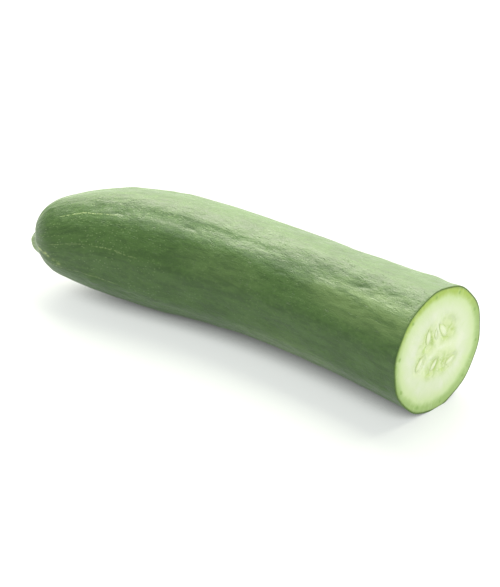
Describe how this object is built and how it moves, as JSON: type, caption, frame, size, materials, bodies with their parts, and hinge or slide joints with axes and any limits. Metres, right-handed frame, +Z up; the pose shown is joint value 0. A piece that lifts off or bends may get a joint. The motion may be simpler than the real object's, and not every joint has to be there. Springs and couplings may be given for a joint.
{
  "type": "cucumber",
  "caption": "Long piece of a slicing cucumber lying on its side: cut straight across at one end, rounded with a small nub at the blossom end, gently bent.",
  "frame": {"origin": "on the surface the piece lies on, under the centre of its box", "axes": "+X along the fruit towards the cut, +Y towards the side the middle bows to, +Z up"},
  "size_m": [0.2058, 0.0696, 0.0526],
  "materials": {
    "skin": "satin",
    "flesh": "satin",
    "seed": "satin"
  },
  "bodies": {
    "root": {"cucumber": "skin"}
  },
  "joints": []
}
